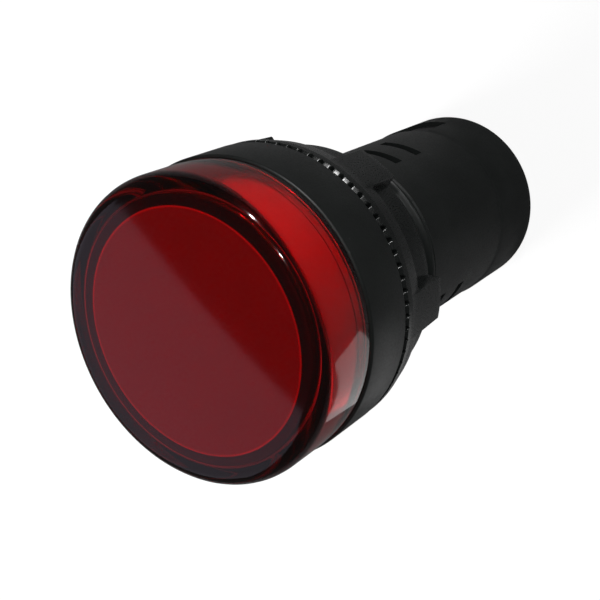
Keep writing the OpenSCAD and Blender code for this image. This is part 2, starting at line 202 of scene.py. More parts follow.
def mesh_from(name, vertices, faces, sharp=35):
    """Mesh of points in millimetres and of faces, smooth but for edges over sharp degrees."""
    mesh = bpy.data.meshes.new(name)
    mesh.from_pydata((np.asarray(vertices) * MM).tolist(), [], [list(map(int, f)) for f in faces])
    mesh.validate()
    mesh.shade_smooth()
    mesh.set_sharp_from_angle(angle=math.radians(sharp))
    return mesh


def capped(points, columns, first, last):
    """Points and faces of a grid that closes round its columns. One more point stands at either
    end of the rows, joined to the grid by a ring of triangles."""
    rows = len(points) // columns
    top = rows - 1
    c = np.arange(columns)
    c1 = (c + 1) % columns
    low, high = np.full(columns, len(points)), np.full(columns, len(points) + 1)
    faces = ring_faces(columns, rows, False).tolist()
    faces += np.stack([low, c1 * rows, c * rows], -1).tolist()
    faces += np.stack([high, c * rows + top, c1 * rows + top], -1).tolist()
    return np.concatenate([points, [first, last]]), faces


def revolve(name, outline, columns):
    """Mesh of an outline carried round +Z: x = r cos(t), y = r sin(t), z = z. The outline starts
    and ends on the axis, and gets one point at each of these poles."""
    turn = np.linspace(0, 2 * math.pi, columns, endpoint=False)[:, None]
    r, z = outline[None, 1:-1, 0], outline[None, 1:-1, 1]
    points = np.stack([np.cos(turn) * r, np.sin(turn) * r, z + 0 * turn], -1).reshape(-1, 3)
    poles = [[0, 0, outline[0, 1]], [0, 0, outline[-1, 1]]]
    return mesh_from(name, *capped(points, columns, *poles))


def finished(mesh, material, body, replaced):
    """Object for a mesh, riding on a body, in place of the CAD nodes named in replaced."""
    piece = bpy.data.objects.new(mesh.name, mesh)
    bpy.context.collection.objects.link(piece)
    mesh.materials.append(material)
    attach(piece, body)
    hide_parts(*replaced)
    print(mesh.name, "has", len(mesh.polygons), "faces")
    return piece


# %% [markdown]
# ## Plastics
# The black mouldings are all nearly the same colour. What tells them apart is the surface: the
# housing has a fine spark-eroded grain, the nut is smoother and scuffed where it was turned.
# The grain is bump and roughness together, because a bump alone looks like paint.

# %% Material helpers
def material(name):
    """New node material: (material, nodes, links, its Principled shader)."""
    made = bpy.data.materials.new(name)
    made.use_nodes = True
    nodes, links = made.node_tree.nodes, made.node_tree.links
    return made, nodes, links, nodes["Principled BSDF"]


def object_noise(nodes, links, scale, detail=2.0, roughness=0.5):
    """Noise on the piece's own coordinates, with scale features for each metre."""
    place = nodes.new("ShaderNodeTexCoord")
    noise = nodes.new("ShaderNodeTexNoise")
    noise.inputs["Scale"].default_value = scale
    noise.inputs["Detail"].default_value = detail
    noise.inputs["Roughness"].default_value = roughness
    links.new(place.outputs["Object"], noise.inputs["Vector"])
    return noise.outputs["Fac"]


def ramp(nodes, links, value, low, high, dark, light):
    """Value between low and high, spread over the two colours or numbers dark and light."""
    spread = nodes.new("ShaderNodeMapRange")
    spread.inputs["From Min"].default_value = low
    spread.inputs["From Max"].default_value = high
    links.new(value, spread.inputs["Value"])
    if isinstance(dark, (int, float)):
        spread.inputs["To Min"].default_value = dark
        spread.inputs["To Max"].default_value = light
        return spread.outputs["Result"]
    mix = nodes.new("ShaderNodeMix")
    mix.data_type = "RGBA"
    mix.inputs["A"].default_value = (*dark, 1)
    mix.inputs["B"].default_value = (*light, 1)
    links.new(spread.outputs["Result"], mix.inputs["Factor"])
    return mix.outputs["Result"]


def bump(nodes, links, shader, height, strength, distance):
    """Bump of a height value on a shader's normal."""
    node = nodes.new("ShaderNodeBump")
    node.inputs["Strength"].default_value = strength
    node.inputs["Distance"].default_value = distance
    links.new(height, node.inputs["Height"])
    links.new(node.outputs["Normal"], shader.inputs["Normal"])


# %% Black mouldings
SCUFF_GREY = (0.07, 0.073, 0.073)
LIGHTER = 1.35


def black_plastic(name, colour, grain, grain_depth, rough_low, rough_high, scuffs, gloss):
    """Black moulding: a grain of grain features per metre and grain_depth metres deep, roughness
    between two values, and sparse pale scuffs where a wide and a fine noise are both high."""
    made, nodes, links, shader = material(name)
    fine = object_noise(nodes, links, grain, 3.0, 0.6)
    wide = object_noise(nodes, links, grain / 24, 2.0)
    roughness = ramp(nodes, links, fine, 0.35, 0.65, rough_high, rough_low)
    links.new(roughness, shader.inputs["Roughness"])
    lighter = tuple(value * LIGHTER for value in colour)
    tone = ramp(nodes, links, wide, 0.3, 0.7, colour, lighter)
    speck = object_noise(nodes, links, grain / 5, 1.0)
    both = nodes.new("ShaderNodeMath")
    both.operation = "MULTIPLY"
    links.new(speck, both.inputs[0])
    links.new(wide, both.inputs[1])
    mark = ramp(nodes, links, both.outputs[0], 0.46, 0.5, 0.0, scuffs)
    blend = nodes.new("ShaderNodeMix")
    blend.data_type = "RGBA"
    blend.inputs["B"].default_value = (*SCUFF_GREY, 1)
    links.new(mark, blend.inputs["Factor"])
    links.new(tone, blend.inputs["A"])
    links.new(blend.outputs["Result"], shader.inputs["Base Color"])
    shader.inputs["Specular IOR Level"].default_value = gloss
    bump(nodes, links, shader, fine, 0.5, grain_depth)
    return made


housing_black = black_plastic(
    "housing_black", (0.0085, 0.0098, 0.0094), grain=7000, grain_depth=0.00002,
    rough_low=0.34, rough_high=0.48, scuffs=0.35, gloss=0.3)
nut_black = black_plastic(
    "nut_black", (0.0075, 0.0086, 0.0083), grain=9000, grain_depth=0.000008,
    rough_low=0.2, rough_high=0.32, scuffs=0.6, gloss=0.36)
block_black = black_plastic(
    "block_black", (0.009, 0.009, 0.0095), grain=9000, grain_depth=0.00001,
    rough_low=0.35, rough_high=0.5, scuffs=0.1, gloss=0.35)
print("black mouldings:", [m.name for m in (housing_black, nut_black, block_black)])

# %% [markdown]
# ## Clear red plastic
# The cap is solid red plastic, so light is coloured at each surface and again by the depth of
# plastic it crosses. That makes the rounded edge, where the way is longest, nearly black.
# Glass hides what is behind it from lamps, which would leave the cup behind it black. Rays that
# look for a lamp therefore meet a tinted see-through shader instead.

# %% The lens
SURFACE_TINT = (0.87, 0.014, 0.03, 1)
DEPTH_TINT = (0.82, 0.025, 0.055, 1)
DEPTH_DENSITY = 450
LAMP_TINT = (0.9, 0.12, 0.14, 1)


def clear_red(name):
    """Red glass for the eye, and red see-through plastic for rays that look for a lamp."""
    made, nodes, links, shader = material(name)
    shader.inputs["Base Color"].default_value = SURFACE_TINT
    shader.inputs["Transmission Weight"].default_value = 1.0
    shader.inputs["IOR"].default_value = 1.5
    haze = object_noise(nodes, links, 900, 2.0)
    links.new(ramp(nodes, links, haze, 0.3, 0.7, 0.05, 0.08), shader.inputs["Roughness"])
    through = nodes.new("ShaderNodeBsdfTransparent")
    through.inputs["Color"].default_value = LAMP_TINT
    path = nodes.new("ShaderNodeLightPath")
    depth = nodes.new("ShaderNodeVolumeAbsorption")
    depth.inputs["Color"].default_value = DEPTH_TINT
    depth.inputs["Density"].default_value = DEPTH_DENSITY
    links.new(depth.outputs["Volume"], nodes["Material Output"].inputs["Volume"])
    mix = nodes.new("ShaderNodeMixShader")
    links.new(path.outputs["Is Shadow Ray"], mix.inputs["Fac"])
    links.new(shader.outputs["BSDF"], mix.inputs[1])
    links.new(through.outputs["BSDF"], mix.inputs[2])
    links.new(mix.outputs["Shader"], nodes["Material Output"].inputs["Surface"])
    return made


lens_red = clear_red("lens_red")
print("clear red:", lens_red.name)

# %% [markdown]
# The cup behind the lens is moulded in one red, but its colours paint light and shade on it: a deep
# red front as painted shade, a bright red side as painted light, a thin brighter ring near the rim
# as a painted highlight, and black painted shade round the front and down the top of the side. The
# colours go by place instead of by image: how far from the axis, and how high.

# %% The cup behind the lens
# Deep red of the front disc: painted shade, darker than the side of the same moulding.
SHADED_DISC_RED = (0.145, 0.018, 0.05)
# Thin brighter ring near the rim of the disc: a painted highlight.
PAINTED_RIM_HIGHLIGHT = (0.34, 0.02, 0.06)
# Black round the outer front ring, the lip and the top of the side: painted shade where little
# light gets through.
PAINTED_SHADE_BLACK = (0.006, 0.006, 0.006)
# Bright reds of the side: painted light, brighter than the front of the same moulding.
LIT_SIDE_REDS = (0.58, 0.025, 0.06), (0.64, 0.03, 0.075)
PAINTED_SHADE_H = 1.8
BANDS_FROM, BANDS_TO = 10, 12
BANDS = [(0.0, SHADED_DISC_RED), (0.6, SHADED_DISC_RED), (0.66, PAINTED_RIM_HIGHLIGHT), (0.69, PAINTED_RIM_HIGHLIGHT),
         (0.72, PAINTED_SHADE_BLACK), (1.0, PAINTED_SHADE_BLACK)]


def cup_red(name):
    """Cup finish by place: r = length of (x, y) on the front, z down the side. The front is a deep
    red as painted shade, with a brighter line near its rim as a painted highlight and black painted
    shade outside it. The side is a bright red as painted light, with black painted shade near the
    front."""
    made, nodes, links, shader = material(name)
    place = nodes.new("ShaderNodeTexCoord")
    flat = nodes.new("ShaderNodeVectorMath")
    flat.operation = "MULTIPLY"
    flat.inputs[1].default_value = (1, 1, 0)
    links.new(place.outputs["Object"], flat.inputs[0])
    away = nodes.new("ShaderNodeVectorMath")
    away.operation = "LENGTH"
    links.new(flat.outputs["Vector"], away.inputs[0])
    span = ramp(nodes, links, away.outputs["Value"], BANDS_FROM * MM, BANDS_TO * MM, 0.0, 1.0)
    bands = nodes.new("ShaderNodeValToRGB")
    bands.color_ramp.elements[0].color = (*BANDS[0][1], 1)
    bands.color_ramp.elements[1].color = (*BANDS[-1][1], 1)
    for at, colour in BANDS[1:-1]:
        bands.color_ramp.elements.new(at).color = (*colour, 1)
    links.new(span, bands.inputs["Fac"])
    height = nodes.new("ShaderNodeSeparateXYZ")
    links.new(place.outputs["Object"], height.inputs["Vector"])
    # Above this height the side takes the black painted shade.
    low = (DIFFUSER_Z1 - PAINTED_SHADE_H) * MM
    side = ramp(nodes, links, height.outputs["Z"], low - 0.1 * MM, low, 1.0, 0.0)
    cloud = object_noise(nodes, links, 500, 2.0)
    # Bright red of the side, drifting with a noise: painted light.
    lit_side = ramp(nodes, links, cloud, 0.3, 0.7, *LIT_SIDE_REDS)
    blend = nodes.new("ShaderNodeMix")
    blend.data_type = "RGBA"
    links.new(side, blend.inputs["Factor"])
    links.new(bands.outputs["Color"], blend.inputs["A"])
    links.new(lit_side, blend.inputs["B"])
    links.new(blend.outputs["Result"], shader.inputs["Base Color"])
    shader.inputs["Roughness"].default_value = 0.5
    shader.inputs["Specular IOR Level"].default_value = 0.2
    bump(nodes, links, shader, object_noise(nodes, links, 6000, 2.0), 0.3, 0.00001)
    return made


diffuser_red = cup_red("diffuser_red")
print("cup:", len(BANDS), "stops between", BANDS_FROM, "and", BANDS_TO, "mm from the axis")

# %% [markdown]
# ## Metals, boards and components
# Most of these are hidden, and show only through the vents or from the rear end. They still
# get their own finish, because the model is also looked at in pieces.

# %% Simple procedural finishes
PLAIN_DEPTH = 0.000005


def plain_finish(name, dark, light, scale, roughness, metallic, coat):
    """Finish whose colour and roughness drift with a noise, with a light bump six times finer."""
    made, nodes, links, shader = material(name)
    drift = object_noise(nodes, links, scale, 3.0)
    links.new(ramp(nodes, links, drift, 0.3, 0.7, dark, light), shader.inputs["Base Color"])
    rough = ramp(nodes, links, drift, 0.3, 0.7, roughness * 0.85, roughness * 1.15)
    links.new(rough, shader.inputs["Roughness"])
    shader.inputs["Metallic"].default_value = metallic
    shader.inputs["Coat Weight"].default_value = coat
    bump(nodes, links, shader, object_noise(nodes, links, scale * 6, 2.0), 0.3, PLAIN_DEPTH)
    return made


PLAIN = {
    # name: dark tone, light tone, scale, roughness, metallic, coat
    "board_white": ((0.8, 0.8, 0.76), (0.88, 0.88, 0.85), 600, 0.35, 0.0, 0.0),
    "led_package": ((0.86, 0.8, 0.6), (0.92, 0.88, 0.72), 900, 0.4, 0.0, 0.0),
    "gasket_rubber": ((0.02, 0.02, 0.02), (0.032, 0.032, 0.032), 1500, 0.7, 0.0, 0.0),
    "contact_brass": ((0.7, 0.52, 0.24), (0.78, 0.6, 0.3), 1200, 0.3, 1.0, 0.0),
    "plated_steel": ((0.6, 0.61, 0.6), (0.72, 0.72, 0.69), 1500, 0.3, 1.0, 0.0),
    "board_green": ((0.03, 0.16, 0.07), (0.04, 0.2, 0.09), 500, 0.35, 0.0, 0.3),
    "film_yellow": ((0.62, 0.4, 0.04), (0.7, 0.47, 0.06), 700, 0.4, 0.0, 0.0),
    "can_blue": ((0.03, 0.05, 0.15), (0.04, 0.065, 0.19), 500, 0.3, 0.0, 0.4),
    "rectifier_black": ((0.02, 0.02, 0.02), (0.03, 0.03, 0.03), 2500, 0.5, 0.0, 0.0),
    "resistor_blue": ((0.2, 0.38, 0.5), (0.25, 0.45, 0.6), 1500, 0.4, 0.0, 0.3),
}
FINISHES = {name: plain_finish(name, *values) for name, values in PLAIN.items()}
FINISHES.update(housing_black=housing_black, nut_black=nut_black, block_black=block_black,
                lens_red=lens_red, diffuser_red=diffuser_red)
slots = {row["node"]: row["material_slot"] for row in frame["record"]["subparts"]}
for node_name, node_object in frame["nodes"].items():
    node_object.data.materials.clear()
    node_object.data.materials.append(FINISHES[slots[node_name]])
print(len(FINISHES), "finishes on", len(slots), "nodes")

# %% [markdown]
# ## The lens cap
# One outline makes the whole cap: a thick front with a soft edge, a side wall, the shoulder
# that sits on the bezel and the skirt with its snap bead. A real clear moulding has no knife
# edges, and its rounded corners are what catch the lamps. A bevel on a turned solid would round
# them too, but arcs in the outline keep every size exact and need no second step.

# %% Turn the lens cap
LENS_FRONT = 1.7
LENS_WALL = 1.7
LENS_EDGE = 1.6
SKIRT_R = radius("led_board")
SKIRT_WALL = 1.0
BEAD = 0.2
BEAD_Z = SKIRT_Z + 1
# A low step inside the wall shows through it as a thin dark line. The rest of the way in to
# the skirt is a slope behind the bezel, out of sight.
STEP_R = LENS_R - LENS_WALL - 0.17
STEP_Z = BEZEL_Z + 0.72
SLOPE_Z0, SLOPE_Z1 = BEZEL_Z - 0.6, BEZEL_Z - 0.1
LENS_COLUMNS = 320

lens_points = [
    (0, LENS_Z), (LENS_R, LENS_Z), (LENS_R, BEZEL_Z), (SKIRT_R, BEZEL_Z), (SKIRT_R, BEAD_Z + BEAD),
    (SKIRT_R + BEAD, BEAD_Z), (SKIRT_R, BEAD_Z - 2 * BEAD), (SKIRT_R, SKIRT_Z),
    (SKIRT_R - SKIRT_WALL, SKIRT_Z), (SKIRT_R - SKIRT_WALL, SLOPE_Z0),
    (STEP_R, SLOPE_Z1), (STEP_R, STEP_Z), (LENS_R - LENS_WALL, STEP_Z + 0.1),
    (LENS_R - LENS_WALL, LENS_Z - LENS_FRONT), (0, LENS_Z - LENS_FRONT),
]
lens_radii = [0, LENS_EDGE, 0.12, 0, 0, 0.05, 0, 0.1, 0.1, 0.1, 0.1, 0.03, 0.03, 0.35, 0]
lens_outline = rounded(lens_points, lens_radii, 8)[::-1]
lens_mesh = revolve("lens_cap_clear", lens_outline, LENS_COLUMNS)
finished(lens_mesh, lens_red, "lamp", ["lens_cap"])

# %% [markdown]
# ## The cup behind the lens
# The cup stands on the board of the lights and spreads their light. A thin lip round its front
# closes the gap to the wall of the lens, so that only the disc and the side of the cup show. The
# lip could be a ring of its own, but as part of the same outline it can't come loose.

# %% Turn the cup that spreads the light
CUP_WALL = 1.0
LIP_R = LENS_R - LENS_WALL - 0.05
LIP_H = 0.45
CUP_COLUMNS = 256

cup_points = [
    (0, DIFFUSER_Z1), (LIP_R, DIFFUSER_Z1), (LIP_R, DIFFUSER_Z1 - LIP_H),
    (DIFFUSER_R, DIFFUSER_Z1 - LIP_H), (DIFFUSER_R, DIFFUSER_Z0),
    (DIFFUSER_R - CUP_WALL, DIFFUSER_Z0), (DIFFUSER_R - CUP_WALL, DIFFUSER_Z1 - CUP_WALL),
    (0, DIFFUSER_Z1 - CUP_WALL),
]
cup_outline = rounded(cup_points, [0, 0.3, 0.1, 0.1, 0.1, 0.1, 0.5, 0], 6)[::-1]
cup_mesh = revolve("diffuser_cup", cup_outline, CUP_COLUMNS)
finished(cup_mesh, diffuser_red, "lamp", ["diffuser"])

# %% [markdown]
# ## The housing
# Bezel, barrel and rear body are one moulding. Its outline goes round the outside and back
# through the bore. The barrel carries the thread: its radius also depends on the angle, so that
# the crest climbs by one pitch in each turn. The vents and latch windows are holes in the grid:
# the cells inside them are left out, outside and in the bore, and short walls join the two.
# Cutting them with other solids would work as well, but it leaves long thin faces that shade
# badly on a smooth round wall.

# %% Sizes of the housing
CAVITY_R = BEZEL_R - 1.4
FLOOR_Z = BOARD_Z0
BARREL_R = 11.0
# The crest of the thread stays just inside the solid barrel.
THREAD_R = BARREL_R - 0.01
BARREL_L = 13.4
BORE_R = 8.8
BODY_R = 10.0
COLLAR_R = 10.15
# The collar steps out between these two heights.
COLLAR_Z1 = REAR_Z + 8.4
COLLAR_Z0 = REAR_Z + 7.9
EDGE = 0.35
THREAD_PITCH = 1.5
THREAD_DEPTH = 0.72
CREST_SHARE = 0.16
FLANK_SHARE = 0.58
THREAD_ROWS = 18
CREST_Z = -10.55
CREST_ANGLE = math.radians(-60)
VENTS = {"groups": 3, "rows": 2, "phase": -19, "span": 26, "width": 1.4, "pitch": 4.35,
         "start": 18.15}
WINDOW = {"span": 28, "height": 5, "end": 3.6}
COLUMNS = 288
# Heights of rings that only divide long walls, outside and in the bore.
RING_Z, BORE_RING_Z = -16.5, -8
REAR_RING_Z = REAR_Z + 1.5


# %% The thread
def thread_radius(angle, z):
    """Radius of the barrel at an angle and height. The phase is the height over the pitch, less
    the share of a turn; near phase 0 is the crest, near a half the root, with smooth flanks."""
    phase = (z - CREST_Z) / THREAD_PITCH - (angle - CREST_ANGLE) / (2 * math.pi)
    away = np.abs(phase - np.round(phase)) * 2
    return THREAD_R - THREAD_DEPTH * smooth_step((away - CREST_SHARE) / FLANK_SHARE)


# %% Holes for the vents and windows
def hole_list():
    """(first angle, last angle, low z, high z) of every opening, angles in degrees."""
    holes = []
    for group in range(VENTS["groups"]):
        middle = VENTS["phase"] + group * 360 / VENTS["groups"]
        for row in range(VENTS["rows"]):
            z = -VENTS["start"] - row * VENTS["pitch"]
            holes.append((middle - VENTS["span"] / 2, middle + VENTS["span"] / 2,
                          z - VENTS["width"] / 2, z + VENTS["width"] / 2))
    for middle in (0, 180):
        low = REAR_Z + WINDOW["end"]
        holes.append((middle - WINDOW["span"] / 2, middle + WINDOW["span"] / 2,
                      low, low + WINDOW["height"]))
    return holes


holes = hole_list()
print(len(holes), "openings in the housing")


# %% Build the housing
def housing_rows():
    """Outline from the bezel's cavity to the barrel, and the heights of the rows of the thread,
    of the rear body outside and of the bore. The walls with openings have a row at every edge."""
    cuts = sorted({z for hole in holes for z in hole[2:]})
    head = rounded([(CAVITY_R, BEZEL_Z), (BEZEL_R, BEZEL_Z), (BEZEL_R, 0), (GASKET_R + 0.1, 0),
                    (GASKET_R + 0.1, GASKET_Z1), (THREAD_R, GASKET_Z1)],
                   [0.15, 0.3, 0.3, 0.1, 0.05, 0], 4)
    thread = np.arange(GASKET_Z1, -BARREL_L + EDGE, -THREAD_PITCH / THREAD_ROWS)[1:]
    lower = [z for z in cuts if z < -BARREL_L]
    collar = list(np.linspace(COLLAR_Z1, COLLAR_Z0, 3))
    outside = [-BARREL_L - 0.3, RING_Z, REAR_RING_Z] + lower + collar
    bore = [REAR_RING_Z, RING_Z, BORE_RING_Z, FLOOR_Z - 0.3] + lower + collar
    return head, thread, sorted(set(outside), reverse=True), sorted(set(bore))


def body_radius(z):
    """Radius of the rear body at a height, growing evenly over the step of the collar."""
    step = np.clip((COLLAR_Z1 - z) / (COLLAR_Z1 - COLLAR_Z0), 0, 1)
    return BODY_R + (COLLAR_R - BODY_R) * step


def columns_for(holes, count):
    """Angles of the columns: an even spread, moved to the nearest edge of an opening."""
    angles = np.linspace(0, 360, count, endpoint=False)
    for edge in {e % 360 for hole in holes for e in hole[:2]}:
        gap = (angles - edge + 180) % 360 - 180
        angles[np.argmin(np.abs(gap))] = edge
    return np.radians(np.sort(angles))


def build_housing():
    """Grid over angle and outline row, with the angles, the rows and the kind of each row. Rows
    that face each other, outside and in the bore, share their heights, so that the wall round
    an opening joins the same points on both."""
    head, thread, outside, bore = housing_rows()
    rows, kind = [], []

    def add(profile, tag="plain"):
        rows.extend(profile)
        kind.extend([tag] * len(profile))

    add(head[:-1])
    add([(0, z) for z in thread], "thread")
    add(rounded([(BARREL_R - 0.4, -BARREL_L + EDGE * 0.6), (BARREL_R - 0.45, -BARREL_L),
                 (BODY_R, -BARREL_L), (BODY_R, -BARREL_L - 0.2)], [0, 0.12, 0.12, 0], 3)[1:-1])
    add([(body_radius(z), z) for z in outside], "outside")
    add(rounded([(COLLAR_R, REAR_RING_Z), (COLLAR_R, REAR_Z), (BORE_R, REAR_Z),
                 (BORE_R, REAR_RING_Z)], [0, 0.3, 0.2, 0], 4)[1:-1])
    add([(BORE_R, z) for z in bore], "bore")
    add(rounded([(BORE_R, FLOOR_Z - 0.3), (BORE_R, FLOOR_Z), (CAVITY_R, FLOOR_Z),
                 (CAVITY_R, BEZEL_Z - 0.5)], [0, 0.1, 0.2, 0], 3)[1:-1])
    rows, kind = np.array(rows), np.array(kind)
    turn = columns_for(holes, COLUMNS)[:, None]
    radii = np.repeat(rows[None, :, 0], len(turn), 0)
    z = np.repeat(rows[None, :, 1], len(turn), 0)
    threaded = kind == "thread"
    end_chamfer = THREAD_R - np.clip((-BARREL_L + 1.0 - z[:, threaded]) * 0.8, 0, 1)
    radii[:, threaded] = np.minimum(thread_radius(turn, z[:, threaded]), end_chamfer)
    points = np.stack([np.cos(turn) * radii, np.sin(turn) * radii, z], -1)
    return points, turn[:, 0], rows, kind


def opening_loop(first, last, turn, levels):
    """Corners round one opening as (column, height), in order: along its low edge, up at its
    last angle, back along its high edge and down at its first angle."""
    into = (turn - math.radians(first) + 1e-6) % (2 * math.pi)
    places = np.nonzero(into < math.radians(last - first) + 2e-6)[0]
    places = places[np.argsort(into[places])]
    low, high = levels[0], levels[-1]
    loop = [(c, low) for c in places] + [(places[-1], z) for z in levels[1:]]
    return loop + [(c, high) for c in places[-2::-1]] + [(places[0], z) for z in levels[-2:0:-1]]


def cut_openings(turn, rows, kind):
    """Faces of the housing: all cells but those in an opening, plus the walls of each opening."""
    count = len(rows)
    quads = ring_faces(len(turn), count, True)
    column, row = quads[:, 0] // count, quads[:, 0] % count
    after, below = (column + 1) % len(turn), (row + 1) % count
    middle = turn[column] + (turn[after] - turn[column]) % (2 * math.pi) / 2
    height = (rows[row, 1] + rows[below, 1]) / 2
    wall = np.isin(kind[row], ("outside", "bore")) & (kind[row] == kind[below])
    outer, inner = ({round(float(rows[i, 1]), 4): i for i in np.nonzero(kind == tag)[0]}
                    for tag in ("outside", "bore"))
    keep = np.ones(len(quads), bool)
    edge_walls = []
    for first, last, low, high in holes:
        into = (middle - math.radians(first)) % (2 * math.pi)
        keep &= ~(wall & (into < math.radians(last - first)) & (height > low) & (height < high))
        levels = sorted(z for z in outer if low - 1e-3 <= z <= high + 1e-3)
        loop = opening_loop(first, last, turn, levels)
        for (c0, z0), (c1, z1) in zip(loop, loop[1:] + loop[:1]):
            edge_walls.append([c0 * count + outer[z0], c0 * count + inner[z0],
                               c1 * count + inner[z1], c1 * count + outer[z1]])
    return np.concatenate([quads[keep], np.array(edge_walls)])


housing_points, housing_turn, housing_grid, housing_kind = build_housing()
housing_faces = cut_openings(housing_turn, housing_grid, housing_kind)[:, ::-1]
housing_mesh = mesh_from("housing_moulding", housing_points.reshape(-1, 3), housing_faces, 32)
finished(housing_mesh, housing_black, "lamp", ["housing"])

# %% [markdown]
# ## The nut
# The nut's outline is carried round too, but its radius steps out at each finger lug and its
# front dips at each notch. Both are functions of the angle with soft steps, so the walls of a
# lug are steep and still have a rounded edge. Seventy-six notches could be cut one by one, but a
# moulded tooth has soft tips, and one function gives them all at once. The columns of the grid
# crowd together where a tooth or a lug begins, so that few faces are spent in between.

# %% Sizes of the nut
HUB_R = NUT_R - 1.65
LUG_FRONT_R = NUT_R - 0.1
LUG_BACK_R = NUT_R - 0.45
LUGS = 6
LUG_SPAN = 17.5
LUG_PHASE = 18
FLANGE_Z = NUT_Z1 - 3.3
FLANGE_BACK_R = NUT_R - 0.5
RIM_Z = NUT_Z1 - 1.1
TOOTH_COUNT = 76
TOOTH_DEPTH = 0.55
TOOTH_RING = 1.1
NOTCH_SHARE = 0.45
TOOTH_CHAMFER = 0.36
NUT_BORE_R = 11.05
LUG_WALL = 0.9
NUT_CELL = 0.7


# %% Build the nut
def lug_height(angle):
    """1 on a finger lug and 0 beside it, with walls LUG_WALL wide; all angles in degrees."""
    away = np.abs((angle - LUG_PHASE + 180 / LUGS) % (360 / LUGS) - 180 / LUGS)
    return smooth_step((LUG_SPAN / 2 - away) / LUG_WALL + 0.5)


def notch_depth(angle):
    """1 at the bottom of a notch and 0 on a tooth, a V with a slightly rounded tip."""
    pitch = 360 / TOOTH_COUNT
    away = np.abs((angle + pitch / 2) % pitch - pitch / 2) / (pitch * NOTCH_SHARE / 2)
    return np.clip(1.05 - away, 0, 1)


def nut_columns():
    """Angles of the columns: eleven for each tooth and five at each wall of a lug, less those
    that would nearly meet."""
    pitch = 360 / TOOTH_COUNT
    tooth = np.array([0, 0.3, 0.62, 0.95, 1.1, 1.6]) * NOTCH_SHARE / 2
    tooth = np.concatenate([-tooth[:0:-1], tooth]) * pitch
    teeth = (np.arange(TOOTH_COUNT)[:, None] * pitch + tooth).ravel()
    walls = np.array([-LUG_WALL / 2, -0.25, 0, 0.25, LUG_WALL / 2])
    sides = np.concatenate([walls - LUG_SPAN / 2, walls + LUG_SPAN / 2])
    lugs = (LUG_PHASE + np.arange(LUGS)[:, None] * 360 / LUGS + sides).ravel()
    angles = np.sort(np.concatenate([teeth, lugs]) % 360)
    return np.radians(angles[np.diff(np.append(angles, angles[0] + 360)) > 0.02])


def lug_radius(z):
    """Radius of a finger lug at a height: it grows evenly from the back of the nut to the rim."""
    return LUG_BACK_R + (LUG_FRONT_R - LUG_BACK_R) * (z - NUT_Z0) / (RIM_Z - NUT_Z0)


def build_nut():
    """Points of the nut over angle and outline row. Rows behind the rim move out to the radius of
    a lug, the more the nearer they are to the outside, and rows of the rim drop at the notches."""
    recess = NUT_Z1 - TOOTH_DEPTH - 0.2
    outline = rounded(
        [(NUT_BORE_R, NUT_Z0), (HUB_R, NUT_Z0), (HUB_R, FLANGE_Z), (FLANGE_BACK_R, FLANGE_Z),
         (NUT_R, RIM_Z), (NUT_R, NUT_Z1 - TOOTH_CHAMFER), (NUT_R - TOOTH_CHAMFER, NUT_Z1),
         (NUT_R - TOOTH_RING, NUT_Z1), (NUT_R - TOOTH_RING, recess), (NUT_BORE_R, recess)],
        [0.2, 0.2, 0.15, 0.2, 0.3, 0.05, 0.05, 0.08, 0.1, 0.3], 4)
    outline = resampled(outline, NUT_CELL)
    turn = nut_columns()
    angle = np.degrees(turn)[:, None]
    r, z = outline[None, :, 0], outline[None, :, 1]
    inner = NUT_BORE_R + 0.3
    weight = np.clip((r - inner) / (HUB_R - 0.2 - inner), 0, 1) * (z < RIM_Z)
    reach = np.maximum(np.minimum(r + (lug_radius(z) - HUB_R) * weight, lug_radius(z)), r)
    radii = r + (reach - r) * lug_height(angle)
    on_rim = (r > NUT_R - TOOTH_RING - 0.05) & (z > NUT_Z1 - TOOTH_CHAMFER - 0.04)
    dropped = np.maximum(TOOTH_DEPTH * notch_depth(angle) - (NUT_Z1 - z), 0) * on_rim
    x, y = np.cos(turn)[:, None] * radii, np.sin(turn)[:, None] * radii
    return np.stack([x, y, z - dropped], -1)


nut_points = build_nut()
nut_faces = ring_faces(nut_points.shape[0], nut_points.shape[1], True)
nut_mesh = mesh_from("panel_nut_moulding", nut_points.reshape(-1, 3), nut_faces, 30)
finished(nut_mesh, nut_black, "panel_nut", ["panel_nut"])

# %% [markdown]
# ## The terminal screws
# A screw is a turned outline too. Its thread is the same kind of function as the barrel's, and
# the cross in its head is a function of x and y that sinks the flat face of the head. On a grid
# fine enough for the walls of the cross, that is simpler than cutting the mesh.

# %% Sizes of a screw
SCREW_R = 1.5
SCREW_PITCH = 0.5
SCREW_DEPTH = 0.27
HEAD_H = 1.9
CROSS_W = 0.7
CROSS_L = 4.0
CROSS_DEPTH = 1.1
CROSS_WALL = 0.08
FACE_CELL = 0.07
SCREW_COLUMNS = 128


# %% Build the screws
def cross_depth(x, y):
    """Depth of the cross at a place on the head: full depth inside either bar, with walls
    CROSS_WALL wide. A bar is long in one direction and narrow in the other."""
    def within(half, place):
        return smooth_step((half - np.abs(place)) / CROSS_WALL + 0.5)

    def bar(u, v):
        return within(CROSS_L / 2, u) * within(CROSS_W / 2, v)
    return CROSS_DEPTH * np.maximum(bar(x, y), bar(y, x))


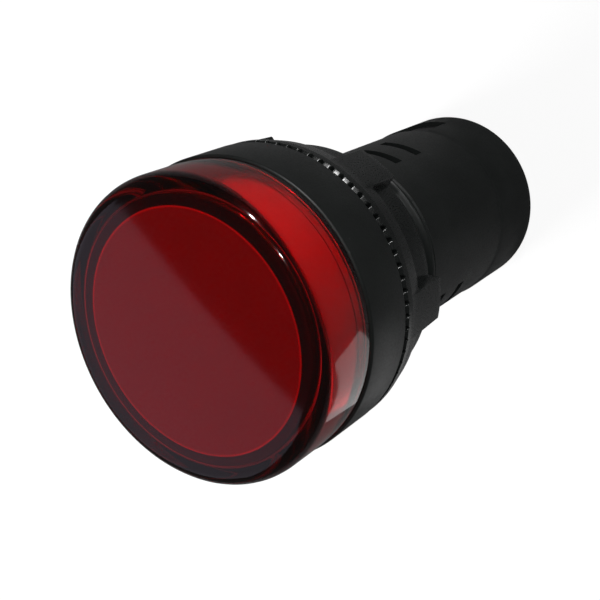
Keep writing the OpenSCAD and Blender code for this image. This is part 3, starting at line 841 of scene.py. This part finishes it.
def build_screw(name, node):
    """Screw over angle and outline row, in the box of its node. The shank's radius falls by the
    thread's depth where the height over the pitch, less the share of a turn, is far from a
    whole number."""
    low, high = low_high(node)
    head_r, length, side = (high[0] - low[0]) / 2, high[2] - low[2], (low[1] + high[1]) / 2
    face = np.arange(FACE_CELL, head_r - 0.45, FACE_CELL)
    face = np.stack([face, np.zeros_like(face)], 1)
    rim = rounded([(head_r - 0.5, 0), (head_r, 0.45), (head_r, HEAD_H), (SCREW_R, HEAD_H)],
                  [0, 0.2, 0.15, 0], 4)[1:-1]
    shank = np.arange(HEAD_H, length - 0.35, SCREW_PITCH / 10)
    shank = np.stack([np.full_like(shank, SCREW_R), shank], 1)
    tip_r = SCREW_R - SCREW_DEPTH
    outline = np.concatenate([face, rim, shank, [[tip_r, length - 0.3], [tip_r - 0.2, length]]])
    turn = np.linspace(0, 2 * math.pi, SCREW_COLUMNS, endpoint=False)[:, None]
    r, z = outline[None, :, 0], outline[None, :, 1]
    phase = z / SCREW_PITCH - turn / (2 * math.pi)
    root = smooth_step((np.abs(phase - np.round(phase)) * 2 - 0.1) / 0.75)
    on_shank = (z > HEAD_H + 0.25) & (z < length - 0.32)
    radii = r - SCREW_DEPTH * root * on_shank
    x, y = np.cos(turn) * radii, np.sin(turn) * radii
    sunk = z + cross_depth(x, y) * (z < 0.01)
    points = np.stack([x, y + side, sunk + low[2]], -1).reshape(-1, 3)
    ends = [[0, side, low[2] + CROSS_DEPTH], [0, side, high[2]]]
    return mesh_from(name, *capped(points, SCREW_COLUMNS, *ends), 32)


for number in ("1", "2"):
    screw_node = "terminal_screw_" + number
    screw_mesh = build_screw("screw_threaded_" + number, screw_node)
    finished(screw_mesh, FINISHES["plated_steel"], "screw_" + number, [screw_node])

# %% [markdown]
# ## The stage
# The light stands on its rear end on a floor that also fills the view. The floor looks white
# to the camera and keeps the soft shadow. In gloss and for the lamps it is much darker, as a
# room is darker than the sheet that an object is shown on.

# %% Floor
def floor_material():
    """Floor that glows white for rays from the camera only. All other rays meet a darker one,
    so the black mouldings and the lens don't mirror a white floor."""
    made, nodes, links, shader = material("floor_white")
    shader.inputs["Base Color"].default_value = (0.15, 0.15, 0.15, 1)
    shader.inputs["Roughness"].default_value = 0.9
    shader.inputs["Specular IOR Level"].default_value = 0.1
    glow = nodes.new("ShaderNodeEmission")
    glow.inputs["Strength"].default_value = 0.88
    path = nodes.new("ShaderNodeLightPath")
    add = nodes.new("ShaderNodeAddShader")
    mix = nodes.new("ShaderNodeMixShader")
    links.new(shader.outputs["BSDF"], add.inputs[0])
    links.new(glow.outputs["Emission"], add.inputs[1])
    links.new(path.outputs["Is Camera Ray"], mix.inputs["Fac"])
    links.new(shader.outputs["BSDF"], mix.inputs[1])
    links.new(add.outputs["Shader"], mix.inputs[2])
    links.new(mix.outputs["Shader"], nodes["Material Output"].inputs["Surface"])
    return made


FLOOR_HALF = 600
FLOOR_LINES = 9
floor_steps = np.linspace(-FLOOR_HALF, FLOOR_HALF, FLOOR_LINES)
floor_x, floor_y = np.meshgrid(floor_steps, floor_steps, indexing="ij")
floor_points = np.stack([floor_x, floor_y, np.full_like(floor_x, REAR_Z)], -1).reshape(-1, 3)
cells = np.arange(FLOOR_LINES - 1)
corner = (cells[:, None] * FLOOR_LINES + cells).ravel()
floor_faces = np.stack([corner, corner + FLOOR_LINES, corner + FLOOR_LINES + 1, corner + 1], -1)
floor_mesh = mesh_from("floor", floor_points, floor_faces)
floor_mesh.materials.append(floor_material())
floor = bpy.data.objects.new("floor", floor_mesh)
bpy.context.collection.objects.link(floor)
print("floor", 2 * FLOOR_HALF, "mm wide at z", round(REAR_Z, 2))

# %% [markdown]
# ## Light
# The room is dim, and each lamp has one job. The window and the fill light the object from two
# sides, and are left out of gloss and glass, where they would flood the red. The card is
# the broad pale sheet that half of the lens mirrors. The sparks are small and strong, for the
# dots on the edge of the lens, and the glints add to them on gloss alone, for the teeth of the
# nut. The panes lie low and show only in the side of the lens. Brightness is given for each
# unit of area, so a lamp can change size and still look as bright in a reflection.

# %% World
world = bpy.data.worlds.new("room")
world.use_nodes = True
world_nodes, world_links = world.node_tree.nodes, world.node_tree.links
room = world_nodes["Background"]
room.inputs["Color"].default_value = (1, 1, 1, 1)
room.inputs["Strength"].default_value = 0.06
seen = world_nodes.new("ShaderNodeBackground")
seen.inputs["Color"].default_value = (1, 1, 1, 1)
seen.inputs["Strength"].default_value = 1.0
world_path = world_nodes.new("ShaderNodeLightPath")
world_mix = world_nodes.new("ShaderNodeMixShader")
world_links.new(world_path.outputs["Is Camera Ray"], world_mix.inputs["Fac"])
world_links.new(room.outputs["Background"], world_mix.inputs[1])
world_links.new(seen.outputs["Background"], world_mix.inputs[2])
world_links.new(world_mix.outputs["Shader"], world_nodes["World Output"].inputs["Surface"])
bpy.context.scene.world = world
print("room strength", room.inputs["Strength"].default_value)


# %% Lamps
LAMP_AIM = (0, 0, -10)
PANE_HEIGHT = 2
PANE_ANGLE = 119.4


def area_lamp(name, width, height, radiance, matrix):
    """Rectangular lamp at a matrix. Its power is radiance times pi times its area."""
    lamp_data = bpy.data.lights.new(name, "AREA")
    lamp_data.shape = "RECTANGLE"
    lamp_data.size = width * MM
    lamp_data.size_y = height * MM
    lamp_data.energy = radiance * math.pi * width * height * MM * MM
    lamp = bpy.data.objects.new(name, lamp_data)
    lamp.matrix_world = matrix
    bpy.context.collection.objects.link(lamp)
    return lamp


def softbox(name, azimuth, elevation, distance, width, height, radiance, roll=0, mirrored=True):
    """Lamp that faces the middle of the object, placed by the angle it is seen at from there.
    A lamp that isn't mirrored lights the object but shows in no gloss or glass."""
    matrix = camera_matrix(LAMP_AIM, azimuth, elevation, roll, distance)
    lamp = area_lamp(name, width, height, radiance, matrix)
    lamp.visible_glossy = mirrored
    lamp.visible_transmission = mirrored
    return lamp


def glint(name, azimuth, elevation, distance, width, height, radiance):
    """Lamp that only gloss sees."""
    lamp = softbox(name, azimuth, elevation, distance, width, height, radiance)
    lamp.visible_diffuse = False
    lamp.visible_transmission = False


def pane(name, middle, length, width, radiance):
    """Flat lamp just above the floor that faces up, with its long side PANE_ANGLE from +X. It is
    meant for one reflection, and the camera doesn't see it."""
    place = Matrix.Translation(Vector((*middle, REAR_Z + PANE_HEIGHT)) * MM)
    along = Matrix.Rotation(math.radians(PANE_ANGLE), 4, "Z")
    face_up = Matrix.Rotation(math.pi, 4, "X")
    area_lamp(name, length, width, radiance, place @ along @ face_up).visible_camera = False


softbox("window", 115, 48, 450, 150, 150, 25, mirrored=False)
softbox("fill", -60, 38, 420, 200, 160, 8, mirrored=False)
card = softbox("card", 114.4, 35.7, 448, 520, 240, 0.35, roll=16.1)
card.data.color = (1, 0.93, 1.15)
softbox("spark_low", -21, 31, 420, 16, 40, 162)
softbox("spark_high", -46, 57, 420, 12, 26, 81)
glint("glint_low", -21, 31, 425, 16, 40, 344)
glint("glint_high", -46, 57, 425, 12, 26, 203)
pane("pane_wide", (-33, -34), 22, 18, 0.8)
pane("pane_narrow", (-43.3, -15.8), 19.9, 18, 0.8)

# %% [markdown]
# ## Finish
# The colours are shown through the Standard view transform.

# %% Set the view transform
bpy.context.scene.view_settings.view_transform = "Standard"
